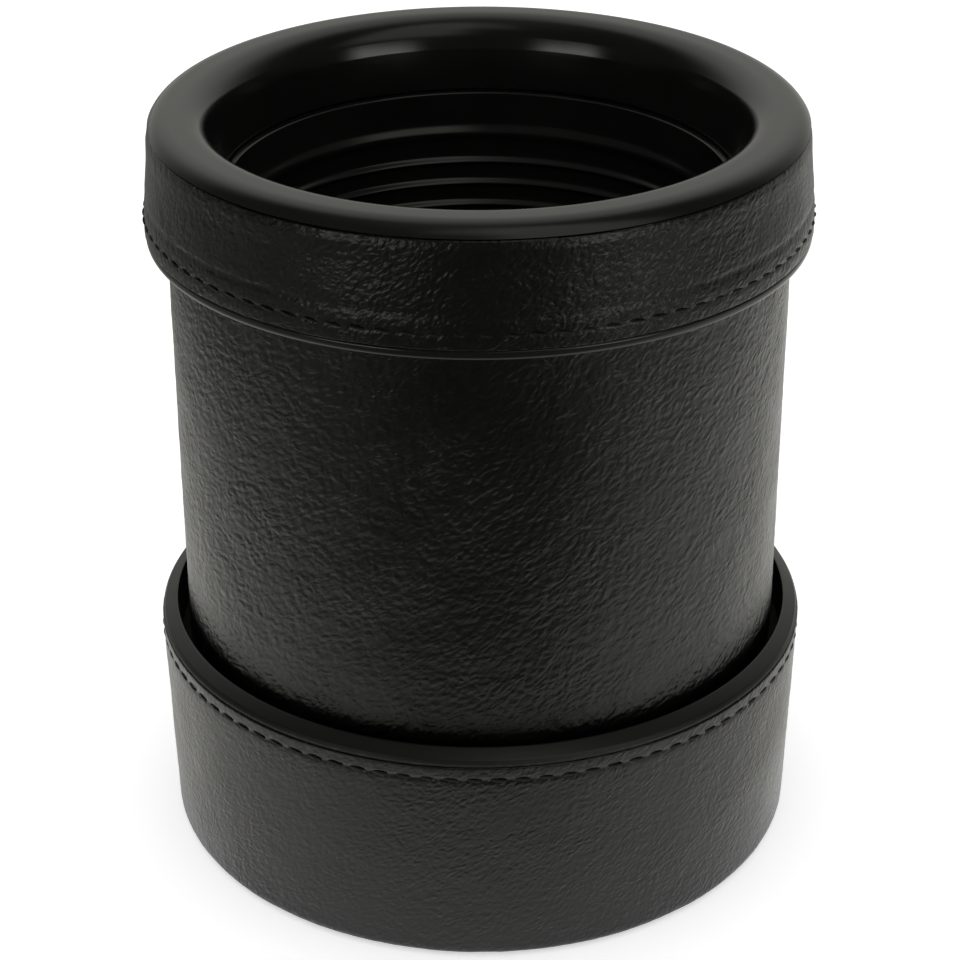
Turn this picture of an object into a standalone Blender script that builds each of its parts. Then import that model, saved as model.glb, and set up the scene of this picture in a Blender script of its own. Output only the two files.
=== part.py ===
"""A leatherette dice cup standing in its dice base.

The cup is a ribbed plastic liner inside a stiff tube wrapped in leatherette, with a rolled plastic
ring round its mouth whose skirt carries a second, stitched strip of leatherette.  It lifts straight
out of the base: a leather-wrapped tray with a ledge for the cup and room for dice below it.

Metres, +Z up.  The origin is the middle of the underside, and every piece is turned about Z.
"""
import math

import bpy

# ---- driving dimensions, in metres -------------------------------------------------------------
TOTAL_HEIGHT = 0.0988           # underside to the crown of the mouth ring
BODY_RADIUS = 0.0392            # outside of the leather round the cup
GAP = 0.0003                    # left between pieces that touch
TURN_STEPS = 48                 # facets round every turned piece

# base tray and what is on it
FOOT_THICKNESS = 0.0009
TRAY_UNDERSIDE = FOOT_THICKNESS + GAP
TRAY_FLOOR = 0.0022             # top of the tray's floor
LIP_TOP = 0.0300                # top of the tray's lip at its outer edge
LIP_RISE = 0.0011               # the lip slopes up to its inner edge by this much
LIP_RADIUS = 0.04265            # outside of the lip
LIP_THICKNESS = 0.0008
SOCKET_RADIUS = 0.0406          # hollow that takes the lower end of the cup
WELL_RADIUS = 0.0376            # hollow below the ledge, where dice are kept
LEDGE = 0.0247                  # height of the ledge that carries the cup
TRAY_TOP_RADIUS = 0.0414        # outside of the tray's wall, under the leather
TRAY_FOOT_RADIUS = 0.0408
BASE_LEATHER_RADIUS = 0.0428    # outside of the base leather at its top edge
BASE_LEATHER_FOOT_RADIUS = 0.0420
BASE_STITCH_HEIGHT = 0.0273
BASE_LEATHER_FLANGE = 0.0387    # inner edge of the leather turned under the tray

# cup
CUP_SEAT = LEDGE + GAP          # underside of the end cover's flange
FLANGE_THICKNESS = 0.0012
PLUG_RADIUS = WELL_RADIUS - GAP
PLUG_DEPTH = 0.0044             # how far the end cover reaches below its flange
COVER_FLOOR = 0.0014
CORE_OUTER = 0.0379             # stiff tube under the leather
CORE_INNER = 0.0358
CORE_TOP = 0.0958
PADDING_TOP = 0.0902
BODY_LEATHER_TOP = 0.0920
LINER_OUTER = 0.0330
LINER_MOUTH_RADIUS = 0.0312     # inside of the liner at its top edge
LINER_FOOT_RADIUS = 0.0303      # inside of the liner at its floor, between ribs
LINER_TOP = 0.0891
LINER_FLOOR = 0.0018
RIB_DEPTH = 0.0009
RIB_PITCH = 0.0031
RIB_COUNT = 16                  # even ribs below the broad one
TOP_RIB_HEIGHT = 0.0834         # middle of the broad rib
FIRST_RIB_HEIGHT = 0.0794       # middle of the first even rib
FELT_THICKNESS = 0.0012
STORE_FELT_THICKNESS = 0.0008

# mouth ring
CROWN_OUTER_ROUND = 0.0030
CROWN_INNER_ROUND = 0.0036
CROWN_OUTER_CENTRE = 0.0381     # the crown is flat between these two radii
CROWN_INNER_CENTRE = 0.03665
CROWN_THICKNESS = 0.0016
CROWN_EDGE_ANGLE = 28           # degrees above level where the crown meets the leather
THROAT_LEAN_ANGLE = 163         # degrees, where the inner rounding runs into the throat
THROAT_RADIUS = 0.0312
THROAT_END = LINER_TOP + GAP
THROAT_THICKNESS = 0.0016
SKIRT_TOP_RADIUS = 0.04015      # outside of the skirt, under the leather
SKIRT_FOOT_RADIUS = 0.0408
SKIRT_INNER = BODY_RADIUS + 0.00045
SKIRT_END = 0.0829              # bottom of the skirt's smooth lip
SKIRT_LIP_HEIGHT = 0.0013
SKIRT_LIP_RADIUS = 0.0417
COLLAR_TOP = 0.0968
COLLAR_STITCH_HEIGHT = 0.0861
COLLAR_RADIUS = 0.0419          # outside of the collar leather at its stitches

# stitched rows
THREAD_THICKNESS = 0.0003
GROOVE_WIDTH = 0.0009
GROOVE_DEPTH = THREAD_THICKNESS + GAP

# ---- finishes: linear base colour, roughness, metallic ------------------------------------------
FINISHES = {
    "ring_plastic": ((0.020, 0.020, 0.019), 0.34, 0.0),
    "liner_plastic": ((0.010, 0.010, 0.010), 0.28, 0.0),
    "tray_plastic": ((0.022, 0.022, 0.021), 0.42, 0.0),
    "leather": ((0.018, 0.018, 0.016), 0.38, 0.0),
    "thread": ((0.008, 0.008, 0.008), 0.65, 0.0),
    "felt": ((0.012, 0.012, 0.012), 0.95, 0.0),
    "board": ((0.32, 0.25, 0.17), 0.90, 0.0),
    "foam": ((0.10, 0.10, 0.11), 0.95, 0.0),
}


def clear_scene():
    for old in list(bpy.data.objects):
        bpy.data.objects.remove(old, do_unlink=True)


def make_material(name):
    colour, roughness, metallic = FINISHES[name]
    material = bpy.data.materials.new(name)
    material.use_nodes = True
    shader = material.node_tree.nodes["Principled BSDF"]
    shader.inputs["Base Color"].default_value = (*colour, 1.0)
    shader.inputs["Roughness"].default_value = roughness
    shader.inputs["Metallic"].default_value = metallic
    return material


def arc(centre, radius, start, end, pieces):
    """Points of an arc in the turning plane; angles in degrees, 0 pointing outwards and 90 up."""
    points = []
    for step in range(pieces + 1):
        angle = math.radians(start + (end - start) * step / pieces)
        points.append((centre[0] + radius * math.cos(angle), centre[1] + radius * math.sin(angle)))
    return points


def radius_at(height, low, high):
    """Radius at a height on the straight line between two (radius, height) points."""
    share = (height - low[1]) / (high[1] - low[1])
    return low[0] + (high[0] - low[0]) * share


def groove(radius, height):
    """The channel that a row of stitches lies in, from its top edge to its bottom edge."""
    half = GROOVE_WIDTH / 2
    floor_half = half * 0.8
    return [(radius, height + half), (radius - GROOVE_DEPTH, height + floor_half),
            (radius - GROOVE_DEPTH, height - floor_half), (radius, height - half)]


def turn(name, outline, material, parent, collection):
    """Turn an outline of (radius, height) points about Z.

    An outline runs down its outer side.  One that starts and ends on the axis makes a solid closed
    there, and any other is joined end to start and makes a ring.
    """
    on_axis = outline[0][0] == 0.0
    edges = [(i, i + 1) for i in range(len(outline) - 1)]
    if not on_axis:
        edges.append((len(outline) - 1, 0))
    mesh = bpy.data.meshes.new(name)
    mesh.from_pydata([(radius, 0.0, height) for radius, height in outline], edges, [])
    mesh.materials.append(material)
    piece = bpy.data.objects.new(name, mesh)
    collection.objects.link(piece)
    piece.parent = parent
    piece.location.z = -parent.location.z

    screw = piece.modifiers.new("turn", "SCREW")
    screw.axis = "Z"
    screw.angle = math.tau
    screw.steps = TURN_STEPS
    screw.render_steps = TURN_STEPS
    screw.use_merge_vertices = True
    screw.merge_threshold = 0.00001
    screw.use_smooth_shade = True
    return piece


def disc_outline(radius, bottom, top):
    return [(0.0, top), (radius, top), (radius, bottom), (0.0, bottom)]


def tube_outline(inner, outer, bottom, top):
    return [(outer, top), (outer, bottom), (inner, bottom), (inner, top)]


def thread_outline(radius, height):
    half = THREAD_THICKNESS / 2
    return tube_outline(radius - THREAD_THICKNESS, radius, height - half, height + half)


# ---- the base -----------------------------------------------------------------------------------
def tray_outline():
    edge = 0.0003
    foot_round = TRAY_FLOOR - TRAY_UNDERSIDE
    inner_top = LIP_TOP + LIP_RISE
    return [
        (0.0, TRAY_FLOOR), (WELL_RADIUS, TRAY_FLOOR), (WELL_RADIUS, LEDGE), (SOCKET_RADIUS, LEDGE),
        (SOCKET_RADIUS, inner_top - edge), (SOCKET_RADIUS + edge, inner_top),
        (LIP_RADIUS - edge, LIP_TOP), (LIP_RADIUS, LIP_TOP - edge),
        (LIP_RADIUS, LIP_TOP - LIP_THICKNESS), (TRAY_TOP_RADIUS, LIP_TOP - LIP_THICKNESS),
        (TRAY_FOOT_RADIUS, TRAY_FLOOR), (TRAY_FOOT_RADIUS - foot_round, TRAY_UNDERSIDE),
        (0.0, TRAY_UNDERSIDE),
    ]


def base_leather_outline():
    top = LIP_TOP - LIP_THICKNESS - GAP
    underside = GAP
    round_radius = 0.0014
    foot = (BASE_LEATHER_FOOT_RADIUS, underside + round_radius)
    head = (BASE_LEATHER_RADIUS, top)
    row = radius_at(BASE_STITCH_HEIGHT, foot, head)
    foot_round = TRAY_FLOOR - TRAY_UNDERSIDE
    inner_foot = TRAY_FOOT_RADIUS + GAP
    return (
        [head] + groove(row, BASE_STITCH_HEIGHT)
        + arc((foot[0] - round_radius, foot[1]), round_radius, 0, -90, 3)
        + [(BASE_LEATHER_FLANGE, underside), (BASE_LEATHER_FLANGE, FOOT_THICKNESS),
           (inner_foot - foot_round, FOOT_THICKNESS), (inner_foot, FOOT_THICKNESS + foot_round),
           (TRAY_TOP_RADIUS + GAP, top)]
    ), row


def make_base(parent, materials, collection):
    base_leather, row = base_leather_outline()
    store_felt = disc_outline(WELL_RADIUS - 0.0004, TRAY_FLOOR + GAP,
                              TRAY_FLOOR + GAP + STORE_FELT_THICKNESS)
    pieces = [
        ("base_tray", tray_outline(), "tray_plastic"),
        ("base_leather", base_leather, "leather"),
        ("base_thread", thread_outline(row, BASE_STITCH_HEIGHT), "thread"),
        ("base_floor_felt", store_felt, "felt"),
        ("base_foot_pad", disc_outline(BASE_LEATHER_FLANGE - GAP, 0.0, FOOT_THICKNESS), "felt"),
    ]
    for name, outline, finish in pieces:
        turn(name, outline, materials[finish], parent, collection)


# ---- the cup ------------------------------------------------------------------------------------
def cover_outline():
    """Closed end of the cup: a pan with a flange that rests on the tray's ledge."""
    bottom = CUP_SEAT - PLUG_DEPTH
    floor = bottom + COVER_FLOOR
    flange_top = CUP_SEAT + FLANGE_THICKNESS
    flange_radius = BODY_RADIUS - 0.0002
    chamfer = 0.0004
    return [
        (0.0, floor), (CORE_INNER, floor), (CORE_INNER, flange_top), (flange_radius, flange_top),
        (flange_radius, CUP_SEAT), (PLUG_RADIUS, CUP_SEAT), (PLUG_RADIUS, bottom + chamfer),
        (PLUG_RADIUS - chamfer, bottom), (0.0, bottom),
    ]


def liner_outline(underside):
    """Ribbed inside of the cup, from the middle of its floor up the wall and down its outside."""
    floor = underside + LINER_FLOOR
    foot = (LINER_FOOT_RADIUS, floor)
    mouth = (LINER_MOUTH_RADIUS, LINER_TOP)
    corner = 0.0010

    def wall(height, depth=0.0):
        return (radius_at(height, foot, mouth) - depth, height)

    points = [(0.0, floor), (LINER_FOOT_RADIUS - corner, floor), wall(floor + corner)]
    for index in reversed(range(RIB_COUNT)):
        crest = FIRST_RIB_HEIGHT - index * RIB_PITCH
        points += [wall(crest - RIB_PITCH / 2), wall(crest, RIB_DEPTH)]
    broad = RIB_PITCH * 0.35
    points += [wall(FIRST_RIB_HEIGHT + RIB_PITCH / 2),
               wall(TOP_RIB_HEIGHT - broad, RIB_DEPTH), wall(TOP_RIB_HEIGHT + broad, RIB_DEPTH),
               wall(TOP_RIB_HEIGHT + RIB_PITCH * 0.75), mouth]
    points += [(LINER_OUTER, LINER_TOP), (LINER_OUTER, underside + corner),
               (LINER_OUTER - corner, underside), (0.0, underside)]
    return points


def ring_outline():
    """Mouth ring: rolled crown, skirt outside and throat inside, hollow underneath."""
    crown_edge = arc((CROWN_OUTER_CENTRE, TOTAL_HEIGHT - CROWN_OUTER_ROUND), CROWN_OUTER_ROUND,
                     90, CROWN_EDGE_ANGLE, 4)
    throat_edge = arc((CROWN_INNER_CENTRE, TOTAL_HEIGHT - CROWN_INNER_ROUND), CROWN_INNER_ROUND,
                      THROAT_LEAN_ANGLE, 90, 5)
    lip_top = SKIRT_END + SKIRT_LIP_HEIGHT
    lip_round = 0.0003
    under_crown = TOTAL_HEIGHT - CROWN_THICKNESS
    skirt = [
        (SKIRT_TOP_RADIUS, crown_edge[-1][1] - 0.0001), (SKIRT_FOOT_RADIUS, lip_top),
        (SKIRT_LIP_RADIUS - lip_round, lip_top), (SKIRT_LIP_RADIUS, lip_top - lip_round),
        (SKIRT_LIP_RADIUS, SKIRT_END + lip_round), (SKIRT_LIP_RADIUS - lip_round, SKIRT_END),
        (SKIRT_INNER, SKIRT_END),
    ]
    hollow = [
        (SKIRT_INNER, BODY_LEATHER_TOP + 0.0005), (CROWN_OUTER_CENTRE + 0.0008, under_crown - 0.0019),
        (CROWN_OUTER_CENTRE - 0.0002, under_crown), (CROWN_INNER_CENTRE + 0.0001, under_crown),
        (CROWN_INNER_CENTRE - 0.0016, under_crown - 0.0014),
        (THROAT_RADIUS + THROAT_THICKNESS, THROAT_END), (THROAT_RADIUS, THROAT_END),
    ]
    return crown_edge + skirt + hollow + throat_edge


def collar_outline():
    """Leather strip round the skirt, skived thin at its top edge."""
    bottom = SKIRT_END + SKIRT_LIP_HEIGHT + GAP
    return (
        [(0.04085, COLLAR_TOP), (0.04105, 0.0958), (0.04110, 0.0940), (0.04160, 0.0887)]
        + groove(COLLAR_RADIUS, COLLAR_STITCH_HEIGHT)
        + [(COLLAR_RADIUS, bottom), (SKIRT_FOOT_RADIUS + GAP, bottom),
           (SKIRT_TOP_RADIUS + GAP, COLLAR_TOP)]
    )


def make_cup(parent, materials, collection):
    flange_top = CUP_SEAT + FLANGE_THICKNESS
    cover_floor = CUP_SEAT - PLUG_DEPTH + COVER_FLOOR
    wall_bottom = flange_top + GAP
    liner_bottom = cover_floor + GAP
    felt_bottom = liner_bottom + LINER_FLOOR + GAP
    pieces = [
        ("end_cover", cover_outline(), "tray_plastic"),
        ("liner", liner_outline(liner_bottom), "liner_plastic"),
        ("cup_floor_felt", disc_outline(LINER_FOOT_RADIUS - 0.0014, felt_bottom,
                                        felt_bottom + FELT_THICKNESS), "felt"),
        ("padding_sleeve", tube_outline(LINER_OUTER + GAP, CORE_INNER - GAP,
                                        liner_bottom, PADDING_TOP), "foam"),
        ("core_tube", tube_outline(CORE_INNER, CORE_OUTER, wall_bottom, CORE_TOP), "board"),
        ("body_leather", tube_outline(CORE_OUTER + GAP, BODY_RADIUS,
                                      wall_bottom, BODY_LEATHER_TOP), "leather"),
        ("mouth_ring", ring_outline(), "ring_plastic"),
        ("collar_leather", collar_outline(), "leather"),
        ("collar_thread", thread_outline(COLLAR_RADIUS, COLLAR_STITCH_HEIGHT), "thread"),
    ]
    for name, outline, finish in pieces:
        turn(name, outline, materials[finish], parent, collection)


def add_empty(name, height, collection):
    """Empty on the Z axis, which is the axis that the cup lifts along."""
    empty = bpy.data.objects.new(name, None)
    empty.empty_display_size = BODY_RADIUS
    empty.location.z = height
    collection.objects.link(empty)
    return empty


def main():
    clear_scene()
    collection = bpy.data.collections.new("leather_dice_cup")
    bpy.context.scene.collection.children.link(collection)
    materials = {name: make_material(name) for name in FINISHES}
    make_base(add_empty("base", 0.0, collection), materials, collection)
    make_cup(add_empty("cup_lift", CUP_SEAT, collection), materials, collection)


main()
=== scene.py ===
"""Looks for the leatherette dice cup: every piece that shows is remade in fine mesh around the frame."""
import math
from collections import namedtuple

import bmesh
import bpy
import numpy as np
from mathutils import Matrix, Vector, noise


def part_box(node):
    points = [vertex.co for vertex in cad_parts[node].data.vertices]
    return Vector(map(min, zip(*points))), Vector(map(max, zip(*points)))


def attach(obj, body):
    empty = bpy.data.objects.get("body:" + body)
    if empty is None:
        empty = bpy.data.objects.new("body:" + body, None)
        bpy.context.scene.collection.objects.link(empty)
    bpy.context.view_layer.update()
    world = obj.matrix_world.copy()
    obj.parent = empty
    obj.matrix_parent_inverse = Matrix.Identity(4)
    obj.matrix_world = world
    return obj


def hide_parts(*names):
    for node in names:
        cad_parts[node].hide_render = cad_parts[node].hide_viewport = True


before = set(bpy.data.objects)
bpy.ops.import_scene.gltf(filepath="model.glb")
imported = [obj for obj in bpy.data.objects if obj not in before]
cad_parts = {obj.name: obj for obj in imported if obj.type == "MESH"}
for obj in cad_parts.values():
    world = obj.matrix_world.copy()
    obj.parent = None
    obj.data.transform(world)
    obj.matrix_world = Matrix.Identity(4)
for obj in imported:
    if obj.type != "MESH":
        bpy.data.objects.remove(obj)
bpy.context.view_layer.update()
noise.seed_set(1)                # without a seed, noise_vector differs from run to run

MM = 0.001
TURN_STEPS = 288                 # facets round a smooth moulded piece
LEATHER_STEPS = 576              # facets round a leather piece
LEATHER_SPACING = 0.42 * MM      # between rows of points on the face of a leather piece
STITCH_PITCH = 2.95 * MM
SEAM_ANGLE = math.pi / 2         # the wraps are joined at the back, on the +Y side
SEAM_WIDTH, SEAM_DEPTH = 0.28 * MM, 0.30 * MM
CREASE_WIDTH, CREASE_DEPTH = 0.35 * MM, 0.10 * MM
STITCH_DENT_WIDTH = 0.28 * MM
STITCH_VALLEY_DEPTH = 0.05 * MM  # along the whole row, between the stitches too
STITCH_SLANT = -0.14             # rise of a stitch for its run
SHARP_ANGLE = 40                 # degrees; a turned edge that bends more than this stays crisp

CAMERA_PLACE = (0.0, -0.3037, 0.2054)
CAMERA_LENS = 97.06              # millimetres, on a sensor 36 mm wide
CAMERA_DOWN = 27.67              # degrees below level
CAMERA_ROLL = -0.0028            # radians

# Studio lights, in degrees round from the front (right positive) and up from the floor.
Softbox = namedtuple("Softbox", "turned raised half_wide half_high soft bright")
SOFTBOXES = [
    Softbox(-40, 8.5, 13, 5, 5, 3.3),
    Softbox(43, 8.5, 14, 5, 5, 3.6),
    Softbox(36, 54, 28, 26, 12, 0.62),
    Softbox(-4, 66, 18, 12, 10, 0.36),
]
SHEET_BRIGHT = 0.97
SHEET_FRONT = (0.035, 0.140, 0.06)   # the lit sheet fades from here, to here, to this brightness
SHEET_LEFT = (0.070, 0.225, 0.27)
SHEET_RIGHT = (0.160, 0.285, 0.50)


# ---- sizes read from the frame -----------------------------------------------------------------
def node_top(node):
    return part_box(node)[1].z


def node_bottom(node):
    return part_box(node)[0].z


def node_middle(node):
    return (node_top(node) + node_bottom(node)) / 2


def node_radius(node):
    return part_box(node)[1].x


# ---- turned meshes ------------------------------------------------------------------------------
def add_object(name, mesh):
    piece = bpy.data.objects.new(name, mesh)
    bpy.context.scene.collection.objects.link(piece)
    return piece


def soften(corners, closed, pieces=6):
    """Rounds the corners of an outline of (radius, height, rounding) triples into points."""
    points = []
    count = len(corners)
    for index, (radius, height, rounding) in enumerate(corners):
        here = Vector((radius, height))
        at_end = not closed and index in (0, count - 1)
        if rounding == 0 or at_end:
            points.append(here)
            continue
        before = Vector(corners[index - 1][:2]) - here
        after = Vector(corners[(index + 1) % count][:2]) - here
        half = before.angle(after) / 2
        reach = min(rounding / math.tan(half), before.length * 0.49, after.length * 0.49)
        start = here + before.normalized() * reach
        end = here + after.normalized() * reach
        for step in range(pieces + 1):
            t = step / pieces
            points.append(start.lerp(here, t).lerp(here.lerp(end, t), t))
    return points


def resample(points, spacing, closed, row=None):
    """Adds points so that no gap between neighbours is over the spacing, with more near a stitch row.

    A straight stretch that faces the axis has no relief, and stays as it is.
    """
    dense = []
    last = len(points) if closed else len(points) - 1
    for index in range(last):
        start, end = points[index], points[(index + 1) % len(points)]
        along = end - start
        faces_axis = -along.y < -0.5 * along.length
        parts = 1 if faces_axis else max(1, math.ceil(along.length / spacing))
        dense += [start.lerp(end, part / parts) for part in range(parts)]
    if not closed:
        dense.append(points[-1])
    if row is None:
        return dense
    finer = []
    for index, point in enumerate(dense):
        finer.append(point)
        following = dense[(index + 1) % len(dense)]
        gap = (following - point).length
        if abs((point.y + following.y) / 2 - row) < 1.1 * MM and 0.2 * MM < gap <= spacing:
            finer += [point.lerp(following, share) for share in (0.25, 0.5, 0.75)]
    return finer


def outward(points, closed):
    """Unit normals of an outline that runs down its outer side."""
    count = len(points)
    normals = []
    for index in range(count):
        before = points[index - 1] if closed or index else points[index]
        after = points[(index + 1) % count] if closed or index < count - 1 else points[index]
        along = after - before
        normals.append(Vector((-along.y, along.x)).normalized())
    return normals


def turn(name, points, material, steps=TURN_STEPS, closed=True, relief=None):
    """Turns an outline about Z; relief gives how far a point stands out along its normal."""
    count = len(points)
    angles = np.linspace(0, math.tau, steps, endpoint=False)
    radius = np.array([p.x for p in points])[:, None] * np.ones(steps)
    height = np.array([p.y for p in points])[:, None] * np.ones(steps)
    if relief:
        normals = outward(points, closed)
        lift = np.zeros((count, steps))
        for row, (point, normal) in enumerate(zip(points, normals)):
            if normal.x > 0.3 or normal.y < -0.5:
                lift[row] = [relief(point.x, point.y, angle) for angle in angles]
        radius += lift * np.array([n.x for n in normals])[:, None]
        height += lift * np.array([n.y for n in normals])[:, None]
    places = np.stack([radius * np.cos(angles), radius * np.sin(angles), height], axis=-1)

    rows = range(count) if closed else range(count - 1)
    faces = []
    for row in rows:
        below = (row + 1) % count
        for step in range(steps):
            following = (step + 1) % steps
            faces.append((row * steps + step, below * steps + step,
                          below * steps + following, row * steps + following))
    mesh = bpy.data.meshes.new(name)
    mesh.from_pydata(places.reshape(-1, 3).tolist(), [], faces)
    if not closed:
        weld_axis(mesh)
    mesh.shade_smooth()
    mesh.set_sharp_from_angle(angle=math.radians(SHARP_ANGLE))
    mesh.materials.append(material)
    return add_object(name, mesh)


def weld_axis(mesh):
    """Joins the points that an outline's ends leave on the axis."""
    shape = bmesh.new()
    shape.from_mesh(mesh)
    on_axis = [v for v in shape.verts if v.co.xy.length < 1e-7]
    bmesh.ops.remove_doubles(shape, verts=on_axis, dist=1e-6)
    shape.to_mesh(mesh)
    shape.free()


def place(piece, body, slot, *nodes):
    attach(piece, body)
    if nodes:
        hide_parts(*nodes)
    return piece


# ---- leather relief -----------------------------------------------------------------------------
def grain(x, y, z, cell, stretch=1.0):
    """Height of wrinkled grain: 0 along curving creases and 1 between them."""
    spot = Vector((x, y, z * stretch)) / cell
    spot += noise.noise_vector(spot * 0.35) * 0.5
    rise = min(abs(noise.noise(spot)) / 0.5, 1.0)
    return rise * rise * (3 - 2 * rise)


def waviness(x, y, z, size):
    return noise.fractal(Vector((x, y, z)) / size, 1.0, 2.0, 3)


def make_relief(cell, depth, wave, stretch=1.0, row=None, pull=0.0, crease=None):
    """Relief of a soft face: grain, slow waves, the seam at the back, a stitch row, a crease."""
    def relief(radius, height, angle):
        x, y = radius * math.cos(angle), radius * math.sin(angle)
        lift = depth * (grain(x, y, height, cell, stretch) - 1)
        lift += wave * (waviness(x, y, height, 7 * MM) - 0.4)
        if row is not None:
            lift += stitch_dent(radius, height, angle, row, pull)
        if crease is not None:
            away = (height - crease) / CREASE_WIDTH
            lift -= CREASE_DEPTH * math.exp(-away * away)
        away = radius * abs((angle - SEAM_ANGLE + math.pi) % math.tau - math.pi) / SEAM_WIDTH
        lift -= SEAM_DEPTH * math.exp(-away * away)
        return min(lift, 0.0)
    return relief


def stitch_count(radius):
    return round(math.tau * radius / STITCH_PITCH)


def stitch_dent(radius, height, angle, row, pull):
    """Leather pulled in along a row of stitches, deepest under each one and swelling between them."""
    away = (height - row) / STITCH_DENT_WIDTH
    if abs(away) > 5:
        return 0.0
    turn_share = angle / math.tau * stitch_count(radius)
    along = abs(turn_share - round(turn_share)) * 2
    held = min(max((1.0 - along) / 0.30, 0.0), 1.0)
    valley = STITCH_VALLEY_DEPTH * math.exp(-(away / 2.6) ** 2)
    return -valley - pull * held * math.exp(-away * away)


# ---- node materials -----------------------------------------------------------------------------
class Nodes:
    """Short hand for building a material's node tree."""

    def __init__(self, name, colour, roughness, **sockets):
        self.material = bpy.data.materials.new(name)
        self.material.use_nodes = True
        self.tree = self.material.node_tree
        self.shader = self.tree.nodes["Principled BSDF"]
        self.shader.inputs["Base Color"].default_value = (*colour, 1)
        self.shader.inputs["Roughness"].default_value = roughness
        for socket, value in sockets.items():
            self.shader.inputs[socket.replace("_", " ")].default_value = value
        self.place = self.tree.nodes.new("ShaderNodeTexCoord").outputs["Object"]

    def add(self, kind, settings=None, **inputs):
        node = self.tree.nodes.new("ShaderNode" + kind)
        for key, value in (settings or {}).items():
            setattr(node, key, value)
        for key, value in inputs.items():
            socket = node.inputs[int(key[1:])] if key[0] == "i" and key[1:].isdigit() \
                else node.inputs[key.replace("_", " ")]
            if isinstance(value, bpy.types.NodeSocket):
                self.tree.links.new(value, socket)
            else:
                socket.default_value = value
        return node

    def scaled(self, x, y, z):
        return self.add("Mapping", Vector=self.place, Scale=(x, y, z)).outputs[0]

    def in_millimetres(self):
        return self.scaled(1000, 1000, 1000)

    def bend(self, place, swirl, amount):
        """The place, pushed about by a colour."""
        return self.add("VectorMath", {"operation": "MULTIPLY_ADD"},
                        i0=swirl, i1=amount, i2=place).outputs[0]

    def noise(self, place, scale, detail=2.0, roughness=0.5):
        return self.add("TexNoise", Vector=place, Scale=scale, Detail=detail,
                        Roughness=roughness).outputs["Fac"]

    def math(self, operation, a, b=0.0, clamp=False):
        return self.add("Math", {"operation": operation, "use_clamp": clamp}, i0=a, i1=b).outputs[0]

    def span(self, value, low, high, to_low=0.0, to_high=1.0):
        return self.add("MapRange", {"interpolation_type": "SMOOTHSTEP"}, Value=value, i1=low, i2=high,
                        i3=to_low, i4=to_high).outputs[0]

    def mix(self, share, a, b):
        node = self.add("Mix", {"data_type": "RGBA"}, Factor=share)
        node.inputs["A"].default_value = (*a, 1)
        node.inputs["B"].default_value = (*b, 1)
        return node.outputs["Result"]

    def bump(self, height, distance, strength=1.0, under=None):
        node = self.add("Bump", Height=height, Distance=distance, Strength=strength)
        if under:
            self.tree.links.new(under, node.inputs["Normal"])
        return node.outputs[0]

    def drive(self, socket, value):
        self.tree.links.new(value, self.shader.inputs[socket])


def leather_material(name, cell, depth):
    """Black leatherette: soft pebbles and wrinkles at two sizes, fine grit and uneven gloss."""
    n = Nodes(name, (0.003, 0.003, 0.0028), 0.32, IOR=1.45)
    place = n.add("Mapping", {"vector_type": "TEXTURE"}, Vector=n.place, Rotation=(0, -0.65, 0),
                  Scale=(MM * 1.25, MM * 1.25, MM / 1.25)).outputs[0]
    swirl = n.add("TexNoise", Vector=place, Scale=0.22, Detail=1.0).outputs["Color"]
    bent = n.bend(place, swirl, (1.6, 1.6, 1.6))
    wrinkle = n.math("ABSOLUTE", n.math("SUBTRACT", n.noise(bent, 0.62 / cell, 1.0), 0.5))
    wrinkle = n.span(wrinkle, 0.0, 0.26)
    pebble = n.add("TexVoronoi", {"feature": "SMOOTH_F1"}, Vector=bent, Scale=0.95 / cell,
                   Smoothness=0.55).outputs["Distance"]
    pebble = n.span(pebble, 0.15, 0.75, 1.0, 0.0)
    ripple = n.noise(bent, 1.25 / cell, 1.0)
    grit = n.noise(place, 6.0, 3.0, 0.6)
    height = n.math("ADD", n.math("MULTIPLY", wrinkle, 0.24), n.math("MULTIPLY", pebble, 0.34))
    height = n.math("ADD", height, n.math("MULTIPLY", ripple, 0.80))
    height = n.math("ADD", height, n.math("MULTIPLY", grit, 0.05))
    patches = n.noise(place, 0.07, 3.0)
    height = n.math("MULTIPLY", height, n.span(patches, 0.35, 0.65, 0.65, 1.25))
    n.drive("Normal", n.bump(height, depth * MM))
    gloss = n.math("ADD", n.span(patches, 0.3, 0.7, 0.25, 0.32), n.math("MULTIPLY", pebble, -0.03))
    n.drive("Roughness", n.math("ADD", gloss, n.math("MULTIPLY", grit, 0.06)))
    # Base colour lighter on the pebble tops and darker in the hollows between them: painted shade in the
    # grain.
    n.drive("Base Color", n.mix(pebble, (0.0010, 0.0010, 0.0009), (0.0019, 0.0019, 0.0018)))
    return n.material


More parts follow.
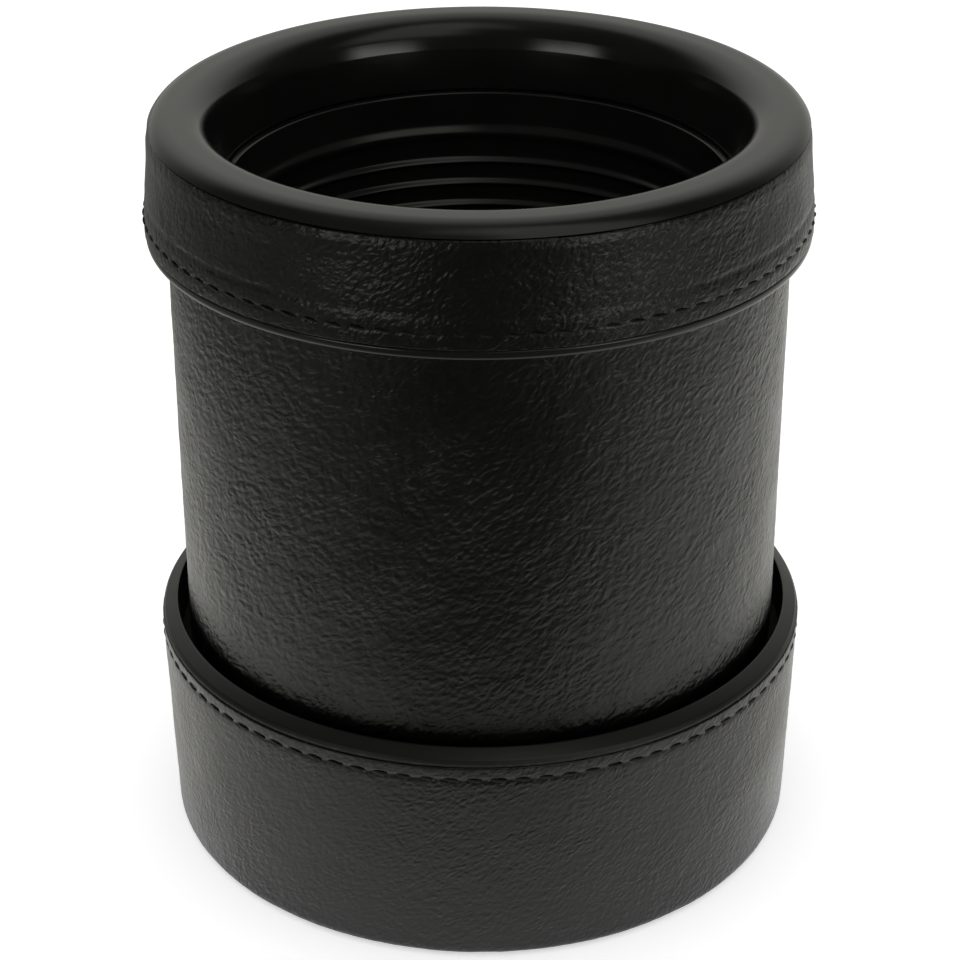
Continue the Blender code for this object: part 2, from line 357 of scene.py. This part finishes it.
def plastic_material(name, colour, rough_low, rough_high, mould=0.004, dusty_below=None):
    """Moulded black plastic: faint orange peel, scattered pits, uneven polish and hairline scuffs.

    Below a height, in metres, it can be dull and linty, as a socket is that nobody wipes.
    """
    n = Nodes(name, colour, rough_low, IOR=1.45)
    place = n.in_millimetres()
    peel = n.noise(place, 0.9, 3.0)
    grit = n.noise(place, 7.0, 2.0)
    dots = n.add("TexVoronoi", Vector=place, Scale=0.85)
    pits = n.span(dots.outputs["Distance"], 0.05, 0.13)
    some = n.span(n.add("SeparateColor", Color=dots.outputs["Color"]).outputs[0], 0.72, 0.74, 1.0, 0.0)
    pits = n.math("MAXIMUM", pits, some)
    height = n.math("ADD", peel, n.math("MULTIPLY", grit, 0.25))
    height = n.math("ADD", height, n.math("MULTIPLY", pits, 2.5))
    n.drive("Normal", n.bump(height, mould * MM))
    streaks = n.noise(n.scaled(60, 60, 900), 1.0, 4.0, 0.6)
    patches = n.noise(place, 0.09, 3.0)
    polish = n.math("MULTIPLY", n.math("ADD", streaks, patches), 0.5)
    roughness = n.span(polish, 0.3, 0.7, rough_low, rough_high)
    tint = n.span(patches, 0.35, 0.65)
    pale = 1.3
    if dusty_below is not None:
        level = n.add("SeparateXYZ", Vector=n.place).outputs["Z"]
        dull = n.span(level, dusty_below - MM, dusty_below, 1.0, 0.0)
        roughness = n.math("ADD", roughness, n.math("MULTIPLY", dull, 0.4))
        lint = n.span(n.noise(place, 1.3, 4.0, 0.7), 0.52, 0.60)
        tint = n.math("MULTIPLY", dull, lint)
        pale = 4.0
    n.drive("Roughness", roughness)
    n.drive("Base Color", n.mix(tint, colour, tuple(channel * pale for channel in colour)))
    return n.material


def thread_material():
    """Black waxed thread with the twist of its plies."""
    n = Nodes("waxed_thread", (0.001, 0.001, 0.001), 0.6, IOR=1.33, Sheen_Weight=0.03, Sheen_Roughness=0.5)
    place = n.in_millimetres()
    twist = n.add("TexWave", {"bands_direction": "DIAGONAL"}, Vector=place, Scale=1.6,
                  Distortion=1.5, Detail=1.0).outputs["Fac"]
    n.drive("Normal", n.bump(twist, 0.05 * MM))
    # Base colour lighter on the crests of the plies and darker in the grooves of the twist: painted shade.
    n.drive("Base Color", n.mix(twist, (0.0006, 0.0006, 0.0006), (0.002, 0.002, 0.002)))
    return n.material


def felt_material():
    """Black felt: matted fibres lying both ways, loose nap and a soft sheen, with painted shade between the
    fibres.
    """
    n = Nodes("black_felt", (0.014, 0.014, 0.014), 0.95, Sheen_Weight=0.35, Sheen_Roughness=0.55)
    place = n.in_millimetres()
    swirl = n.add("TexNoise", Vector=place, Scale=0.3, Detail=2.0).outputs["Color"]
    bent = n.bend(place, swirl, (4.0, 4.0, 0.0))
    along = n.add("Mapping", Vector=bent, Scale=(0.8, 5.0, 1.0)).outputs[0]
    across = n.add("Mapping", Vector=bent, Scale=(5.0, 0.8, 1.0)).outputs[0]
    mat = n.math("MAXIMUM", n.noise(along, 1.0, 4.0, 0.65), n.noise(across, 1.0, 4.0, 0.65))
    nap = n.noise(place, 0.35, 4.0, 0.6)
    height = n.math("ADD", n.math("MULTIPLY", mat, 0.7), n.math("MULTIPLY", nap, 0.6))
    n.drive("Normal", n.bump(height, 0.40 * MM))
    # Base colour lighter where the matted fibres and nap stand high and darker between them: painted shade.
    painted_fibre_shade = n.math("ADD", n.math("MULTIPLY", n.span(mat, 0.45, 0.75), 0.6),
                  n.math("MULTIPLY", n.span(nap, 0.35, 0.65), 0.4))
    n.drive("Base Color", n.mix(painted_fibre_shade, (0.005, 0.005, 0.005), (0.030, 0.030, 0.029)))
    n.drive("Roughness", n.span(n.noise(place, 0.3), 0.3, 0.7, 0.88, 1.0))
    return n.material


def board_material():
    """Rolled grey board: long fibres and faint layer lines."""
    n = Nodes("rolled_board", (0.32, 0.25, 0.17), 0.9)
    fibres = n.noise(n.scaled(300, 300, 2500), 1.0, 5.0, 0.65)
    n.drive("Normal", n.bump(fibres, 0.06 * MM))
    n.drive("Base Color", n.mix(fibres, (0.24, 0.18, 0.12), (0.38, 0.30, 0.21)))
    return n.material


def foam_material():
    """Grey padding foam with open cells."""
    n = Nodes("padding_foam", (0.10, 0.10, 0.11), 0.95)
    place = n.in_millimetres()
    cells = n.add("TexVoronoi", Vector=place, Scale=1.8).outputs["Distance"]
    n.drive("Normal", n.bump(cells, 0.3 * MM))
    n.drive("Base Color", n.mix(n.span(cells, 0.1, 0.8), (0.14, 0.14, 0.15), (0.06, 0.06, 0.07)))
    return n.material


# ---- pieces of the base -------------------------------------------------------------------------
def make_tray(material):
    """Well, ledge and socket, under a lip that slopes up to its inner edge."""
    inner_top, radius = node_top("base_tray"), node_radius("base_tray")
    lip_top, lip_edge = inner_top - 1.1 * MM, radius - 0.02 * MM
    lip_under = lip_top - 0.8 * MM
    under = node_bottom("base_tray")
    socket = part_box("body_leather")[1].x + 1.4 * MM
    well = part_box("base_floor_felt")[1].x + 0.4 * MM
    ledge = node_bottom("end_cover") + 4.1 * MM
    floor = node_bottom("base_floor_felt") - 0.3 * MM
    wall = radius - 1.25 * MM
    corners = [
        (0, floor, 0), (well, floor, 0.3 * MM), (well, ledge, 0.2 * MM), (socket, ledge, 0.3 * MM),
        (socket, inner_top, 0.22 * MM), (radius - 0.30 * MM, lip_top + 0.02 * MM, 0.35 * MM),
        (lip_edge, lip_top - 0.45 * MM, 0.15 * MM), (lip_edge, lip_under, 0.1 * MM),
        (wall, lip_under, 0), (wall - 0.6 * MM, floor, 0), (wall - 1.6 * MM, under, 0), (0, under, 0),
    ]
    return turn("tray_fine", soften(corners, closed=False), material, closed=False)


def make_base_leather(material):
    """The wrap round the tray, with its lower edge turned in under the tray."""
    top, bottom = node_top("base_leather") + 0.22 * MM, node_bottom("base_leather")
    radius = node_radius("base_leather")
    row = node_middle("base_thread")
    flange, flange_top = radius - 4.1 * MM, bottom + 0.6 * MM
    corners = [
        (radius, top, 0.25 * MM), (radius - 0.8 * MM, bottom, 1.3 * MM),
        (flange, bottom, 0.1 * MM), (flange, flange_top, 0),
        (radius - 2.9 * MM, flange_top, 0), (radius - 1.7 * MM, bottom + 1.8 * MM, 0),
        (radius - 1.1 * MM, top, 0.1 * MM),
    ]
    points = resample(soften(corners, closed=True), LEATHER_SPACING, closed=True, row=row)
    relief = make_relief(1.5 * MM, 0.022 * MM, 0.05 * MM, row=row, pull=0.14 * MM)
    return turn("base_wrap", points, material, LEATHER_STEPS, relief=relief)


# ---- pieces of the cup --------------------------------------------------------------------------
def make_body_leather(material):
    top, bottom = node_top("body_leather"), node_bottom("body_leather")
    radius = node_radius("body_leather")
    inner = radius - 1.0 * MM
    corners = [(radius, top, 0), (radius, bottom, 0.4 * MM), (inner, bottom, 0), (inner, top, 0)]
    points = resample(soften(corners, closed=True), LEATHER_SPACING, closed=True)
    relief = make_relief(1.8 * MM, 0.035 * MM, 0.06 * MM, stretch=1.3)
    return turn("body_wrap", points, material, LEATHER_STEPS, relief=relief)


def make_collar(material):
    top, bottom = node_top("collar_leather"), node_bottom("collar_leather") - 0.28 * MM
    radius = node_radius("collar_leather")
    row = node_middle("collar_thread")
    corners = [
        (radius - 1.55 * MM, top + 0.20 * MM, 0.05 * MM), (radius - 1.12 * MM, top + 0.20 * MM, 0.45 * MM),
        (radius - 0.90 * MM, top - 0.9 * MM, 1.2 * MM), (radius - 0.80 * MM, top - 3.0 * MM, 1.5 * MM),
        (radius - 0.30 * MM, top - 8.1 * MM, 1.5 * MM), (radius, row, 2.0 * MM),
        (radius - 0.05 * MM, bottom, 0.14 * MM), (radius - 0.80 * MM, bottom, 0),
        (radius - 1.50 * MM, top - 0.4 * MM, 0.05 * MM),
    ]
    points = resample(soften(corners, closed=True), LEATHER_SPACING, closed=True, row=row)
    relief = make_relief(1.6 * MM, 0.028 * MM, 0.06 * MM, row=row, pull=0.08 * MM,
                         crease=row + 2.3 * MM)
    return turn("collar_wrap", points, material, LEATHER_STEPS, relief=relief)


def make_ring(material):
    """The rolled crown, with the throat inside it and the skirt outside."""
    top, bottom = node_top("mouth_ring"), node_bottom("mouth_ring")
    radius = node_radius("mouth_ring")
    throat_end = node_top("liner") + 0.3 * MM
    throat = node_radius("liner") - 1.0 * MM
    outer_centre, outer_round = radius - 3.6 * MM, 3.0 * MM
    inner_centre, inner_round = radius - 5.05 * MM, 3.6 * MM

    def arc(centre, round_radius, start, end, pieces):
        level = top - round_radius
        turns = [math.radians(start + (end - start) * i / pieces) for i in range(pieces + 1)]
        return [(centre + round_radius * math.cos(a), level + round_radius * math.sin(a), 0)
                for a in turns]

    edge = arc(outer_centre, outer_round, 90, 28, 12)
    mouth = arc(inner_centre, inner_round, 163, 90, 16)
    lip_top, skirt_inner = bottom + 1.3 * MM, radius - 2.05 * MM
    corners = edge + [
        (edge[-1][0] - 0.6 * MM, edge[-1][1] - 0.1 * MM, 0.1 * MM), (radius - 0.9 * MM, lip_top, 0.1 * MM),
        (radius, lip_top, 0.60 * MM), (radius, bottom, 0.68 * MM), (skirt_inner, bottom, 0.2 * MM),
        (skirt_inner, top - 6.3 * MM, 0.5 * MM), (radius - 2.8 * MM, top - 3.5 * MM, 0.5 * MM),
        (radius - 3.8 * MM, top - 1.6 * MM, 0.5 * MM), (radius - 4.95 * MM, top - 1.6 * MM, 0.5 * MM),
        (radius - 6.65 * MM, top - 3.0 * MM, 0.5 * MM), (throat + 1.6 * MM, throat_end, 0.1 * MM),
        (throat, throat_end, 0.25 * MM), (throat + 0.85 * MM, top - 4.1 * MM, 0.5 * MM),
    ] + mouth
    return turn("ring_fine", soften(corners, closed=True), material)


def make_liner(material):
    """The ribbed inside: one broad rib near the mouth and even ones below it."""
    top, under = node_top("liner"), node_bottom("liner")
    outer = node_radius("liner")
    floor = under + 1.8 * MM
    mouth, foot = outer - 1.8 * MM, outer - 2.7 * MM
    pitch, depth, count = 3.1 * MM, 0.9 * MM, 16
    broad_height = top - 5.7 * MM
    first = broad_height - 4.0 * MM

    def wall(height):
        return foot + (mouth - foot) * (height - floor) / (top - floor)

    def bead(middle, half, crest):
        """A rounded rib: a raised cosine across twice its half width."""
        return [(wall(middle + half * s / 8) - crest * (0.5 + 0.5 * math.cos(math.pi * s / 8)) ** 2,
                 middle + half * s / 8, 0) for s in range(-8, 9)]

    corners = [(0, floor, 0), (foot, floor, 1.0 * MM)]
    for index in reversed(range(count)):
        corners += bead(first - index * pitch, pitch * 0.30, depth * 0.66)
    corners += bead(broad_height, pitch * 0.60, depth * 0.66)
    corners += [
        (mouth, top - 1.2 * MM, 0.4 * MM), (mouth - 0.10 * MM, top, 0.25 * MM),
        (outer, top, 0.1 * MM), (outer, under, 1.0 * MM), (0, under, 0),
    ]
    return turn("liner_fine", soften(corners, closed=False), material, closed=False)


def make_padding(material):
    """Foam rolled round the liner, dimpled by its own cells and by the winding."""
    low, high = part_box("padding_sleeve")
    inner = node_radius("liner") + 0.3 * MM
    corners = [(high.x, high.z, 0.5 * MM), (high.x, low.z, 0.5 * MM),
               (inner, low.z, 0.5 * MM), (inner, high.z, 0.5 * MM)]
    points = resample(soften(corners, closed=True), 1.5 * MM, closed=True)
    relief = make_relief(2.4 * MM, 0.08 * MM, 0.10 * MM)
    return turn("padding_fine", points, material, steps=144, relief=relief)


def make_end_cover(material):
    """A shallow pan with a flange that rests on the ledge and a plug that drops into the well."""
    top, bottom = node_top("end_cover"), node_bottom("end_cover")
    radius = node_radius("end_cover")
    plug, pan = radius - 1.7 * MM, radius - 3.2 * MM
    seat = bottom + 4.4 * MM
    corners = [
        (0, bottom + 1.4 * MM, 0), (pan, bottom + 1.4 * MM, 0), (pan, top, 0.1 * MM),
        (radius, top, 0.25 * MM), (radius, seat, 0.35 * MM), (plug, seat, 0.2 * MM),
        (plug, bottom, 0.7 * MM), (0, bottom, 0),
    ]
    return turn("end_cover_fine", soften(corners, closed=False), material, closed=False)


def make_felt_disc(name, node, material):
    low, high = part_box(node)
    corners = [(0, high.z, 0), (high.x, high.z, 0.3 * MM), (high.x, low.z, 0.05 * MM), (0, low.z, 0)]
    points = resample(soften(corners, closed=False), 1.2 * MM, closed=False)
    return turn(name, points, material, steps=144, closed=False)


def make_stitches(name, node, half_wide, material):
    """Separate stitches lying in the row's channel, each a rounded length of thread."""
    row, radius = node_middle(node), node_radius(node)
    count = stitch_count(radius)
    half_length, half_deep = STITCH_PITCH * 0.37, 0.12 * MM
    shape = bmesh.new()
    rings, sides = 9, 8
    for index in range(count):
        angle = math.tau * index / count
        out = Vector((math.cos(angle), math.sin(angle), 0))
        uneven = noise.noise(Vector((index * 0.43, 0.5, 0.5)))
        middle = out * (radius - (0.17 - 0.10 * uneven) * MM) + Vector((0, 0, row))
        along = Vector((-math.sin(angle), math.cos(angle), STITCH_SLANT)).normalized()
        side = along.cross(out)
        loops = []
        for ring in range(rings):
            t = -1 + 2 * ring / (rings - 1)
            girth = math.sqrt(max(1 - t ** 4, 0.0)) + 0.05
            arch = out * 0.10 * MM * (1 - 2 * t * t)
            centre = middle + along * half_length * (1 + 0.2 * uneven) * t + arch
            loop = []
            for s in range(sides):
                around = math.tau * s / sides
                offset = out * math.cos(around) * half_deep + side * math.sin(around) * half_wide
                loop.append(shape.verts.new(centre + girth * offset))
            loops.append(loop)
        for first, second in zip(loops, loops[1:]):
            for s in range(sides):
                following = (s + 1) % sides
                shape.faces.new((first[s], first[following], second[following], second[s]))
        shape.faces.new(loops[0])
        shape.faces.new(reversed(loops[-1]))
    bmesh.ops.recalc_face_normals(shape, faces=shape.faces)
    mesh = bpy.data.meshes.new(name)
    shape.to_mesh(mesh)
    shape.free()
    mesh.shade_smooth()
    mesh.materials.append(material)
    return add_object(name, mesh)


# ---- stage --------------------------------------------------------------------------------------
def hide_from(piece, *rays):
    for ray in rays:
        setattr(piece, "visible_" + ray, False)


def glow_material(name, colour):
    """A surface that only glows: it reflects nothing, and the light isn't sampled from it."""
    n = Nodes(name, (0.0, 0.0, 0.0), 1.0, Specular_IOR_Level=0.0)
    n.shader.inputs["Emission Color"].default_value = (*colour, 1)
    n.material.cycles.emission_sampling = "NONE"
    return n


def make_camera():
    data = bpy.data.cameras.new("camera")
    data.sensor_width = 36.0
    data.lens = CAMERA_LENS
    camera = bpy.data.objects.new("camera", data)
    camera.location = CAMERA_PLACE
    tilt = Matrix.Rotation(math.radians(90 - CAMERA_DOWN), 3, "X")
    camera.rotation_euler = (tilt @ Matrix.Rotation(CAMERA_ROLL, 3, "Z")).to_euler()
    bpy.context.scene.collection.objects.link(camera)
    bpy.context.scene.camera = camera


def make_floor():
    n = Nodes("pale_floor", (0.9, 0.9, 0.9), 0.9)
    n.drive("Base Color", n.mix(n.noise(n.scaled(8, 8, 8), 1.0), (0.90, 0.91, 0.97), (0.92, 0.93, 0.99)))
    n.shader.inputs["Emission Color"].default_value = (1, 1, 1, 1)
    n.shader.inputs["Emission Strength"].default_value = 0.5
    side = 3.0
    corners = [(-side, -side, 0), (side, -side, 0), (side, side, 0), (-side, side, 0)]
    mesh = bpy.data.meshes.new("floor")
    mesh.from_pydata(corners, [], [(0, 1, 2, 3)])
    mesh.materials.append(n.material)
    add_object("floor", mesh)


def make_backdrop():
    """A white wall all round, which fills the view above the floor and neither lights nor shades."""
    n = glow_material("white_backdrop", (1, 1, 1))
    n.shader.inputs["Emission Strength"].default_value = 1.0
    reach, rise = 2.9, 3.0
    wall = turn("backdrop", [Vector((reach, rise)), Vector((reach, 0.0))], n.material, closed=False)
    hide_from(wall, "diffuse", "glossy", "shadow", "transmission")


def smoothstep(low, high, value):
    t = min(max((value - low) / (high - low), 0.0), 1.0)
    return t * t * (3 - 2 * t)


def softbox_share(turned, raised, box):
    """How much of a softbox is seen in a direction, fading over its soft edge."""
    across = smoothstep(box.half_wide + box.soft, box.half_wide - box.soft, abs(turned - box.turned))
    return across * smoothstep(box.half_high + box.soft, box.half_high - box.soft, abs(raised - box.raised))


def sky_glow(turned, raised):
    """Brightness of the studio: a bright wall behind, dark sides and roof, and the softboxes."""
    back = smoothstep(100, 150, abs(turned))
    back_glow = 0.50 + 0.40 * smoothstep(10, 45, raised) - 0.68 * smoothstep(60, 90, raised)
    side_glow = 0.07 + 0.15 * smoothstep(50, 90, raised)
    boxes = sum(box.bright * softbox_share(turned, raised, box) for box in SOFTBOXES)
    return side_glow + (back_glow - side_glow) * back + boxes


def floor_glow(turned, reach):
    """Brightness of the lit sheet under the object, which fades outward and soonest at the front."""
    aside = smoothstep(8, 92, abs(turned))
    side = SHEET_LEFT if turned < 0 else SHEET_RIGHT
    start, end, far = (front + (away - front) * aside for front, away in zip(SHEET_FRONT, side))
    return SHEET_BRIGHT + (far - SHEET_BRIGHT) * smoothstep(start, end, reach)


def glow_card(name, places, rows, columns, glows):
    """A glowing grid that wraps round, which only the object's reflections see."""
    faces = []
    for row in range(rows - 1):
        for column in range(columns):
            following = (column + 1) % columns
            faces.append((row * columns + column, row * columns + following,
                          (row + 1) * columns + following, (row + 1) * columns + column))
    n = glow_material(name, (1.0, 0.99, 0.93))
    n.drive("Emission Strength", n.add("Attribute", {"attribute_name": "glow"}).outputs["Fac"])
    mesh = bpy.data.meshes.new(name)
    mesh.from_pydata(places, [], faces)
    mesh.attributes.new("glow", "FLOAT", "POINT").data.foreach_set("value", glows)
    mesh.materials.append(n.material)
    card = add_object(name, mesh)
    hide_from(card, "camera", "diffuse", "shadow", "transmission")


def make_studio():
    """A dome and a sheet, seen only by reflections, with the softboxes and dark sides of a studio.

    The dome's rows are closest together at the heights where the low softboxes fade.
    """
    turns = [-180 + 4 * i for i in range(90)]
    raises = [0, 2, 3, 4, 6, 8, 10, 12, 14, 15, 16, 18] + list(range(21, 88, 3)) + [89.9]
    reach, dome_foot, sheet_height = 1.3, 0.001, 0.0006
    places, glows = [], []
    for raised in raises:
        for turned in turns:
            around, up = math.radians(turned - 90), math.radians(raised)
            places.append((reach * math.cos(around) * math.cos(up), reach * math.sin(around) * math.cos(up),
                           dome_foot + reach * math.sin(up)))
            glows.append(sky_glow(turned, raised))
    glow_card("studio_dome", places, len(raises), len(turns), glows)
    reaches = [0.046 + 0.008 * i for i in range(45)] + [0.5, 0.8, 1.3]
    places, glows = [], []
    for reach in reaches:
        for turned in turns:
            around = math.radians(turned - 90)
            places.append((reach * math.cos(around), reach * math.sin(around), sheet_height))
            glows.append(floor_glow(turned, reach))
    glow_card("studio_sheet", places, len(reaches), len(turns), glows)


def make_light():
    """The world's even light, which reaches the diffuse surfaces along with the floor's glow."""
    world = bpy.data.worlds.new("studio")
    world.use_nodes = True
    world.node_tree.nodes["Background"].inputs["Color"].default_value = (1, 0.995, 0.93, 1)
    world.node_tree.nodes["Background"].inputs["Strength"].default_value = 0.78
    scene = bpy.context.scene
    scene.world = world
    scene.view_settings.view_transform = "Standard"


# ---- assembly -----------------------------------------------------------------------------------
def dress_hidden(node, material):
    """Gives its material to a CAD piece that keeps its shape, as it only shows in a cup taken apart."""
    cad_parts[node].material_slots[0].material = material


def main():
    body_leather = leather_material("leather_body", 0.85, 0.115)
    band_leather = leather_material("leather_bands", 0.68, 0.096)
    ring_plastic = plastic_material("ring_plastic_fine", (0.0042, 0.0042, 0.0042), 0.12, 0.18)
    liner_plastic = plastic_material("liner_plastic_fine", (0.0048, 0.0048, 0.0048), 0.14, 0.22, 0.002)
    tray_plastic = plastic_material("tray_plastic_fine", (0.004, 0.004, 0.004), 0.28, 0.38,
                                    dusty_below=node_top("base_tray") - 1.0 * MM)
    cover_plastic = plastic_material("cover_plastic_fine", (0.004, 0.004, 0.004), 0.28, 0.38)
    thread = thread_material()
    felt = felt_material()

    place(make_tray(tray_plastic), "base", "tray_plastic", "base_tray")
    place(make_base_leather(band_leather), "base", "leather", "base_leather")
    place(make_stitches("base_stitches", "base_thread", 0.24 * MM, thread),
          "base", "thread", "base_thread")
    place(make_felt_disc("store_lining", "base_floor_felt", felt), "base", "felt", "base_floor_felt")
    place(make_felt_disc("foot_pad_fine", "base_foot_pad", felt), "base", "felt", "base_foot_pad")

    place(make_end_cover(cover_plastic), "cup", "tray_plastic", "end_cover")
    place(make_liner(liner_plastic), "cup", "liner_plastic", "liner")
    place(make_felt_disc("cup_lining", "cup_floor_felt", felt), "cup", "felt", "cup_floor_felt")
    place(make_body_leather(body_leather), "cup", "leather", "body_leather")
    place(make_ring(ring_plastic), "cup", "ring_plastic", "mouth_ring")
    place(make_collar(band_leather), "cup", "leather", "collar_leather")
    place(make_stitches("collar_stitches", "collar_thread", 0.17 * MM, thread),
          "cup", "thread", "collar_thread")
    padding = place(make_padding(foam_material()), "cup", "foam", "padding_sleeve")
    dress_hidden("core_tube", board_material())

    make_camera()
    make_floor()
    make_backdrop()
    make_studio()
    make_light()


main()
